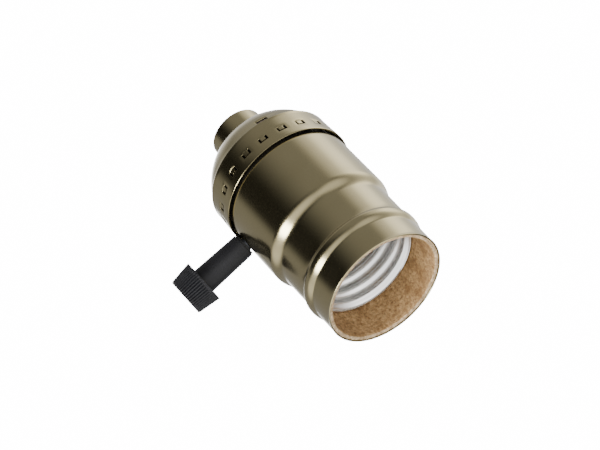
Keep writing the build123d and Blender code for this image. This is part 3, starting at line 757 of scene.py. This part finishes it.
def build_cap():
    """The cap: a closed sheet with lanced windows round the skirt and a notch on the crease."""
    outside = cap_outside()
    profile = outside + list(reversed(cap_inside(outside)))
    heights = [point.y for point in outside]
    columns = cap_columns()
    width = len(columns)
    last = len(profile) - 1
    crease_row = next(row for row, point in enumerate(outside) if point.x >= CREASE_RADIUS - 1e-6)
    slit_row = crease_row - 1
    notch_bottom = slit_row - NOTCH_ROWS

    points = []
    for row, point in enumerate(profile):
        outside_row = min(row, last - row)
        for azimuth in columns:
            depth = window_press(azimuth, heights[outside_row])
            if notch_bottom < outside_row <= slit_row:
                depth += notch_press(azimuth, (outside_row - notch_bottom) / NOTCH_ROWS)
            turn = radians(azimuth)
            radius = point.x - depth
            points.append((radius * cos(turn), radius * sin(turn), point.y))

    holes = set()
    for column in range(width):
        next_azimuth = columns[column + 1] if column + 1 < width else columns[0] + 360
        azimuth = (columns[column] + next_azimuth) / 2
        if abs(angle_from(azimuth, NOTCH_AZIMUTH)) < NOTCH_HALF_ANGLE:
            holes.add((slit_row, column))
        for row in range(len(outside) - 1):
            if in_window_slit(azimuth, (heights[row] + heights[row + 1]) / 2):
                holes.add((row, column))

    skip = holes | {(last - 1 - row, column) for row, column in holes}
    faces = grid_faces(len(profile), width, skip=skip)
    faces += slit_walls(sorted(holes), width, last)
    cap = make_piece("cap_looks", points, faces, BRONZE_PLATING)
    round_edges(cap, RIM_EDGE, 60)
    # faces that turn towards the dome's centre take the nearly black metal: painted shade for the
    # inside of the cap, seen through its windows and rim gap
    cap.data.materials.append(PAINTED_SHADE_METAL)
    dome_centre = Vector((0, 0, dome_centre_z())) * MM
    for polygon in cap.data.polygons:
        if polygon.normal.dot(polygon.center - dome_centre) < 0:
            polygon.material_index = 1
    stand_for(cap, "cap")


# -------------------------------------------------------------------------------- neck


def build_neck():
    """The neck bushing, with its threaded bore."""
    thread_rows = ceil(neck_high.z / PIPE_THREAD_PITCH * PIPE_THREAD_ROWS_PER_TURN)
    bore_radius = PIPE_THREAD_MINOR + PIPE_THREAD_DEPTH
    flange_top = LAND_Z + SHEET + NECK_FLANGE_HEIGHT
    outline = softened([
        (bore_radius, neck_low.z + 0.01, 0),
        (NECK_RADIUS, neck_low.z, 0.35),
        (NECK_RADIUS, LAND_Z, 0.0),
        (NECK_RIVET_RADIUS, LAND_Z, 0),
        (NECK_RIVET_RADIUS, LAND_Z + SHEET, 0),
        (NECK_FLANGE_RADIUS, LAND_Z + SHEET, 0.1),
        (NECK_FLANGE_RADIUS, flange_top, 0.4),
        (NECK_RIVET_RADIUS, flange_top, 0.1),
        (NECK_RIVET_RADIUS, neck_high.z, 0.3),
        (bore_radius, neck_high.z, 0),
    ])
    points, _ = turned(outline, NECK_STEPS)
    for row in range(thread_rows + 1):
        height = neck_high.z - (neck_high.z - neck_low.z) * row / thread_rows
        from_end = min(height - neck_low.z, neck_high.z - height)
        for step in range(NECK_STEPS):
            turn = 2 * pi * step / NECK_STEPS
            phase = (height / PIPE_THREAD_PITCH - step / NECK_STEPS) % 1
            valley = 1 - abs(2 * phase - 1)
            depth = PIPE_THREAD_DEPTH * max(valley, 1 - from_end / PIPE_THREAD_RUNOUT)
            radius = PIPE_THREAD_MINOR + depth
            points.append((radius * cos(turn), radius * sin(turn), height))
    rows = len(outline) + thread_rows + 1
    neck = make_piece("neck_looks", points, grid_faces(rows, NECK_STEPS), BRONZE_PLATING)
    stand_for(neck, "neck_bushing")


def bar(name, low, high):
    """A plain block between two corners, used to cut a driver's slot."""
    (low_x, low_y, low_z), (high_x, high_y, high_z) = low, high
    points = [(x, y, z) for z in (low_z, high_z) for y in (low_y, high_y) for x in (low_x, high_x)]
    faces = [(0, 1, 3, 2), (4, 5, 7, 6), (0, 1, 5, 4), (2, 3, 7, 6), (0, 2, 6, 4), (1, 3, 7, 5)]
    return make_piece(name, points, faces, BRONZE_PLATING)


def build_set_screw():
    """The slotted set screw in the side of the neck."""
    radius = (set_screw_high.x - set_screw_low.x) / 2
    height = (set_screw_high.z + set_screw_low.z) / 2
    start = set_screw_low.y
    end = set_screw_high.y
    outline = softened([
        (NEAR_AXIS, end, 0),
        (radius, end, 0.25),
        (radius, start, 0.1),
        (NEAR_AXIS, start, 0),
    ])
    points = []
    for reach, along in outline:
        for step in range(SET_SCREW_STEPS):
            turn = 2 * pi * step / SET_SCREW_STEPS
            points.append((reach * cos(turn), along, height + reach * sin(turn)))
    faces = grid_faces(len(outline), SET_SCREW_STEPS)
    screw = make_piece("set_screw_looks", points, faces, BRONZE_PLATING)
    slot = DRIVER_SLOT_WIDTH / 2
    cut_away(screw, bar(
        "slot_bar",
        (-2 * radius, end - DRIVER_SLOT_DEPTH, height - slot),
        (2 * radius, end + 1, height + slot),
    ))
    stand_for(screw, "set_screw")


# ------------------------------------------------------------------------- outer shell


def shell_outside():
    """The shell's outside from the cap end to the curled mouth."""
    neck_start = (SHELL_NECK_RADIUS, SHELL_START_Z + 0.2)
    neck_end = (SHELL_NECK_RADIUS, SHELL_NECK_END_Z)
    body_start = (SHELL_BODY_RADIUS, SHELL_BODY_START_Z)
    shoulder_top = (SHELL_WIDEST_RADIUS, SHOULDER_TOP_Z)
    shoulder_bottom = (WAIST_RADIUS, SHOULDER_BOTTOM_Z)
    bead_start = (WAIST_RADIUS, BEAD_START_Z)
    bead_crown = (BEAD_RADIUS, BEAD_CROWN_Z)
    bead_fall = (BEAD_RADIUS, BEAD_FALL_Z)
    outside = straight(neck_start, neck_end, 8)
    outside += eased(neck_end, body_start, 10)
    outside += straight(body_start, shoulder_top, 24)
    outside += eased(shoulder_top, shoulder_bottom, 28)
    outside += straight(shoulder_bottom, bead_start, 8)
    outside += eased(bead_start, bead_crown, 16, 0.8)
    outside += straight(bead_crown, bead_fall, 2)
    # the crown falls away in a part wave and ends in a sharp crease
    for step in range(16):
        share = step / 16
        fall = (1 - cos(BEAD_WAVE * share)) / (1 - cos(BEAD_WAVE))
        outside.append(Vector((
            BEAD_RADIUS - (BEAD_RADIUS - MOUTH_RADIUS) * fall,
            BEAD_FALL_Z + (BEAD_END_Z - BEAD_FALL_Z) * share,
        )))
    outside += [
        Vector((MOUTH_RADIUS + 0.01, BEAD_END_Z)),
        Vector((MOUTH_RADIUS, BEAD_END_Z + 0.08)),
    ]
    collar_end = (MOUTH_RADIUS, MOUTH_Z - CURL_HEIGHT)
    outside += straight((MOUTH_RADIUS, BEAD_END_Z + 0.25), collar_end, 6)
    outside += eased(collar_end, (CURL_RADIUS, MOUTH_Z - 0.25), 8)
    outside += [
        Vector((CURL_RADIUS, MOUTH_Z - 0.22)),
        Vector((CURL_RADIUS - 0.03, MOUTH_Z - 0.15)),
        Vector((CURL_RADIUS - 0.10, MOUTH_Z - 0.09)),
    ]
    return outside


def slot_cutter(start_z):
    """A tall bar, round at the knob's height, that cuts the slot for the knob's shaft."""
    half = SLOT_WIDTH / 2
    outline = [(-half, start_z), (half, start_z)]
    for step in range(25):
        turn = pi * step / 24
        outline.append((half * cos(turn), KNOB_Z + half * sin(turn)))
    points = [
        (reach, across, height)
        for reach in (SLOT_INNER_X, SLOT_OUTER_X)
        for across, height in outline
    ]
    count = len(outline)
    faces = [tuple(range(count)), tuple(range(count, 2 * count))]
    faces += [
        (index, (index + 1) % count, count + (index + 1) % count, count + index)
        for index in range(count)
    ]
    return make_piece("slot_cutter", points, faces, BRONZE_PLATING)


def build_shell():
    """The outer shell: drawn shoulder, bead, curled mouth and the slot for the shaft."""
    outline = sheet_outline(shell_outside(), SHELL_SHEET)
    points, faces = turned(outline)
    shell = make_piece("shell_looks", points, faces, BRONZE_PLATING)
    cut_away(shell, slot_cutter(SHELL_START_Z - 2))
    # the neck that sits inside the cap takes the nearly black metal: painted shade for the gap
    # between cap rim and shell
    shell.data.materials.append(PAINTED_SHADE_METAL)
    for polygon in shell.data.polygons:
        if polygon.center.z / MM < SHELL_SHADE_END_Z:
            polygon.material_index = 1
    stand_for(shell, "outer_shell")


# ------------------------------------------------------------------------------ sleeve


def unevenness(place, layers):
    """Smooth noise at a place, summed from layers of waves per millimetre and height."""
    return sum(noise.noise(place * waves) * height for waves, height in layers)


def build_sleeve():
    """The cardboard sleeve, with a slightly ragged cut edge at the mouth."""
    inner = SLEEVE_OUTER - SLEEVE_THICKNESS
    cut_radius = CURL_RADIUS - SHELL_SHEET - CUT_EDGE_GAP
    outline = softened([
        (inner, sleeve_low.z, 0.1),
        (SLEEVE_OUTER, sleeve_low.z, 0.1),
        (SLEEVE_OUTER, sleeve_high.z - CUT_EDGE_FLARE_HEIGHT, 0),
        (cut_radius, sleeve_high.z - 0.3, 0.1),
        (cut_radius, sleeve_high.z, 0.12),
        (inner, sleeve_high.z, 0.28),
    ])
    outline += straight((inner, sleeve_high.z - 0.5), (inner, sleeve_low.z + 0.5), 70)
    points, faces = turned(outline, SLEEVE_STEPS)
    ragged = []
    for x, y, z in points:
        place = Vector((x, y, z))
        near_cut = max(0.0, 1 - (sleeve_high.z - z) / CUT_EDGE_HEIGHT)
        outward = Vector((x, y, 0)).normalized()
        is_inside = Vector((x, y)).length < inner + 0.4
        bumps = unevenness(place, CARD_BUMPS)
        if is_inside:
            place += outward * (bumps + CUT_EDGE_FLARE * near_cut)
        else:
            place += outward * bumps * 0.3
        place.z += near_cut * (unevenness(place, CUT_EDGE_WAVES) - CUT_EDGE_DROP)
        ragged.append(place)
    sleeve = make_piece("sleeve_looks", ragged, faces, CARD)
    sleeve.data.materials.append(CARD_EDGE)
    for polygon in sleeve.data.polygons:
        if polygon.center.z / MM > sleeve_high.z - CUT_EDGE_FINISH_HEIGHT:
            polygon.material_index = 1
    cut_away(sleeve, slot_cutter(sleeve_low.z - 2))
    stand_for(sleeve, "insulating_sleeve")


# ------------------------------------------------------------------------- screw shell


def thread_wall_radius(height, turn):
    """The inside radius of the rolled wall at a height and an angle."""
    wall_start = screw_low.z + THREAD_START_HEIGHT
    lip_start = screw_high.z - LIP_HEIGHT
    lip_radius = screw_high.x - THREAD_SHEET
    middle = (THREAD_CREST_RADIUS + THREAD_ROOT_RADIUS) / 2
    swing = (THREAD_ROOT_RADIUS - THREAD_CREST_RADIUS) / 2
    # the wave's crests and roots are a little fuller than a cosine's
    wave = cos(2 * pi * (height / THREAD_PITCH - turn / (2 * pi)))
    rounded = wave * (1.25 - 0.25 * wave * wave)
    fade_in = min(1.0, max(0.0, (height - wall_start) / THREAD_RUN_IN))
    radius = THREAD_ROOT_RADIUS + (middle + swing * rounded - THREAD_ROOT_RADIUS) * fade_in
    flare = max(0.0, (height - lip_start) / LIP_HEIGHT)
    return radius + (lip_radius - radius) * (1 - cos(pi * flare)) / 2


def ring(radius_at, height):
    """One row of points round the axis, whose radius may change with the angle."""
    points = []
    for step in range(ROUND_STEPS):
        turn = 2 * pi * step / ROUND_STEPS
        radius = radius_at(turn)
        points.append((radius * cos(turn), radius * sin(turn), height))
    return points


def build_screw_shell():
    """The aluminium screw shell: one sheet rolled into a right-handed rounded thread."""
    floor_z = screw_low.z
    lip_z = screw_high.z
    wall_start = floor_z + THREAD_START_HEIGHT
    corner_z = floor_z + FLOOR_CORNER_HEIGHT
    heights = [
        wall_start + (lip_z - wall_start) * row / THREAD_ROWS
        for row in range(THREAD_ROWS + 1)
    ]
    floor_inside = [
        (SCREW_FLOOR_RADIUS, floor_z + THREAD_SHEET),
        (THREAD_ROOT_RADIUS - 0.8, floor_z + THREAD_SHEET),
        (THREAD_ROOT_RADIUS - 0.25, floor_z + THREAD_SHEET + 0.2),
        (THREAD_ROOT_RADIUS, corner_z),
    ]
    floor_outside = [
        (THREAD_ROOT_RADIUS + THREAD_SHEET, corner_z),
        (THREAD_ROOT_RADIUS + 0.1, floor_z + 0.15),
        (THREAD_ROOT_RADIUS - 0.6, floor_z),
        (SCREW_FLOOR_RADIUS, floor_z),
    ]
    lip_crown_radius = screw_high.x - THREAD_SHEET / 2
    rows = [ring(lambda turn: radius, height) for radius, height in floor_inside]
    rows += [ring(lambda turn: thread_wall_radius(height, turn), height) for height in heights]
    rows.append(ring(lambda turn: lip_crown_radius, lip_z + LIP_CROWN))
    rows += [
        ring(lambda turn: thread_wall_radius(height, turn) + THREAD_SHEET, height)
        for height in reversed(heights)
    ]
    rows += [ring(lambda turn: radius, height) for radius, height in floor_outside]
    points = [point for row in rows for point in row]
    faces = grid_faces(len(rows), ROUND_STEPS)
    screw_shell = make_piece("screw_shell_looks", points, faces, ALUMINIUM, 60)
    stand_for(screw_shell, "screw_shell")


# -------------------------------------------------------------------------------- knob


def head_radius(along):
    """The radius of the knob's tapered head at a distance along X."""
    share = (along - HEAD_START_X) / (knob_high.x - HEAD_START_X)
    return HEAD_START_RADIUS + (HEAD_END_RADIUS - HEAD_START_RADIUS) * share


def ribbed(along, turn, radius):
    """Rounded ribs with narrow grooves between them, on the head's side only."""
    ribs_start = HEAD_START_X + HEAD_BAND * 0.9
    if radius < HEAD_END_RADIUS - 0.45 or along < ribs_start:
        return radius
    groove = abs(cos(turn * RIB_COUNT / 2)) ** 6
    fade = min(1.0, (along - ribs_start) / RIB_RUN_IN)
    return radius - RIB_DEPTH * groove * fade


def build_knob():
    """The turn knob: a slightly tapered stem and a tapered head with rounded ribs."""
    start_x = knob_low.x
    end_x = knob_high.x
    step_radius = STEM_START_RADIUS - STEM_STEP / 2
    band_end = HEAD_START_X + HEAD_BAND
    outline = softened([
        (SHAFT_RADIUS, start_x, 0.1),
        (step_radius, start_x, 0.12),
        (step_radius, start_x + STEM_STEP, 0),
        (STEM_START_RADIUS, start_x + STEM_STEP, 0.1),
        (STEM_END_RADIUS, HEAD_START_X, 0.18),
        (HEAD_START_RADIUS, HEAD_START_X, 0.12),
        (head_radius(band_end), band_end, 0),
    ])
    for step in range(1, 11):
        along = band_end + (end_x - band_end - 0.4) * step / 10
        outline.append(Vector((head_radius(along), along)))
    face_x = end_x - HEAD_FACE_INSET
    outline += softened([
        (HEAD_END_RADIUS - 0.05, end_x - 0.3, 0),
        (HEAD_END_RADIUS - 0.12, end_x - 0.06, 0),
        (HEAD_END_RADIUS - 0.4, end_x, 0),
        (HEAD_END_RADIUS - 1.2, end_x, 0),
        (HEAD_END_RADIUS - HEAD_FACE_RIM, face_x, 0),
        (NEAR_AXIS, face_x, 0),
        (NEAR_AXIS, start_x + SHAFT_BORE_DEPTH, 0),
        (SHAFT_RADIUS, start_x + SHAFT_BORE_DEPTH, 0),
    ])
    points, faces = turned_about_knob(outline, RIB_COUNT * RIB_STEPS, ribbed)
    knob = make_piece("knob_looks", points, faces, BLACK_PLASTIC, 45)
    stand_for(knob, "knob")


# -------------------------------------------------------------- camera, floor and light


def place_camera():
    """A long lens above the mouth's side, rolled so that the socket lies across the picture."""
    azimuth = radians(CAMERA_AZIMUTH)
    elevation = radians(CAMERA_ELEVATION)
    back = Vector((
        sin(azimuth) * cos(elevation),
        -cos(azimuth) * cos(elevation),
        sin(elevation),
    ))
    lens = bpy.data.cameras.new("camera")
    lens.lens = CAMERA_LENS
    lens.clip_start = 0.05
    lens.clip_end = 20
    camera = bpy.data.objects.new("camera", lens)
    camera.rotation_mode = "QUATERNION"
    roll = Quaternion((0, 0, 1), radians(CAMERA_ROLL))
    camera.rotation_quaternion = back.to_track_quat("Z", "Y") @ roll
    right = camera.rotation_quaternion @ Vector((1, 0, 0))
    up = camera.rotation_quaternion @ Vector((0, 1, 0))
    mouth_centre = Vector((0, 0, MOUTH_Z))
    shift = up * CAMERA_UP - right * CAMERA_LEFT
    camera.location = (mouth_centre + shift + back * CAMERA_DISTANCE) * MM
    bpy.context.scene.collection.objects.link(camera)
    bpy.context.scene.camera = camera


def lay_floor():
    """A plain pale floor far below the held socket. It glows evenly, as a light table does."""
    mesh = bpy.data.meshes.new("floor")
    corners = [
        (side_x * FLOOR_HALF_WIDTH, side_y * FLOOR_HALF_WIDTH, -FLOOR_DROP)
        for side_x, side_y in ((-1, -1), (1, -1), (1, 1), (-1, 1))
    ]
    mesh.from_pydata(corners, [], [(0, 1, 2, 3)])
    floor = bpy.data.objects.new("floor", mesh)
    floor.visible_glossy = False
    floor.visible_diffuse = False
    floor.visible_shadow = False
    paper = bpy.data.materials.new("floor_paper")
    paper.use_nodes = True
    shader = paper.node_tree.nodes["Principled BSDF"]
    shader.inputs["Base Color"].default_value = (0.9, 0.9, 0.9, 1)
    shader.inputs["Roughness"].default_value = 0.9
    shader.inputs["Emission Color"].default_value = (1, 1, 1, 1)
    shader.inputs["Emission Strength"].default_value = PAPER_GLOW
    mesh.materials.append(paper)
    bpy.context.scene.collection.objects.link(floor)


def direction(azimuth, elevation):
    """The unit vector that points to an azimuth and elevation in degrees."""
    across = cos(radians(elevation))
    return Vector((
        cos(radians(azimuth)) * across,
        sin(radians(azimuth)) * across,
        sin(radians(elevation)),
    ))


def soft_patch(tree, light):
    """The strength of one light: full inside its inner angle, fading to none at its outer."""
    azimuth, elevation, inner, outer, strength = light
    place = tree.nodes.new("ShaderNodeTexCoord").outputs["Generated"]
    facing = tree.nodes.new("ShaderNodeVectorMath")
    facing.operation = "DOT_PRODUCT"
    facing.inputs[1].default_value = direction(azimuth, elevation)
    tree.links.new(place, facing.inputs[0])
    patch = tree.nodes.new("ShaderNodeMapRange")
    patch.interpolation_type = "SMOOTHSTEP"
    patch.inputs["From Min"].default_value = cos(radians(outer))
    patch.inputs["From Max"].default_value = cos(radians(inner))
    patch.inputs["To Max"].default_value = strength
    tree.links.new(facing.outputs["Value"], patch.inputs["Value"])
    return patch.outputs["Result"]


def soft_studio(tree):
    """A dim room with every soft light in it."""
    studio = tree.nodes["Background"]
    studio.inputs["Color"].default_value = (1, 1, 1, 1)
    total = None
    for light in SOFT_LIGHTS:
        add = tree.nodes.new("ShaderNodeMath")
        add.operation = "ADD"
        tree.links.new(soft_patch(tree, light), add.inputs[0])
        if total is None:
            add.inputs[1].default_value = DIM_ROOM
        else:
            tree.links.new(total, add.inputs[1])
        total = add.outputs["Value"]
    tree.links.new(total, studio.inputs["Strength"])
    return studio.outputs["Background"]


def light_scene():
    """Light the object with the soft studio, and show the camera a plain pale backdrop."""
    world = bpy.data.worlds.new("studio")
    world.use_nodes = True
    tree = world.node_tree
    backdrop = tree.nodes.new("ShaderNodeBackground")
    backdrop.inputs["Color"].default_value = (1, 1, 1, 1)
    backdrop.inputs["Strength"].default_value = PAPER_GLOW
    ray = tree.nodes.new("ShaderNodeLightPath")
    mix = tree.nodes.new("ShaderNodeMixShader")
    tree.links.new(ray.outputs["Is Camera Ray"], mix.inputs["Fac"])
    tree.links.new(soft_studio(tree), mix.inputs[1])
    tree.links.new(backdrop.outputs["Background"], mix.inputs[2])
    tree.links.new(mix.outputs["Shader"], tree.nodes["World Output"].inputs["Surface"])
    bpy.context.scene.world = world


finish_cad_nodes()
build_cap()
build_neck()
build_set_screw()
build_shell()
build_sleeve()
build_screw_shell()
build_knob()
place_camera()
lay_floor()
light_scene()
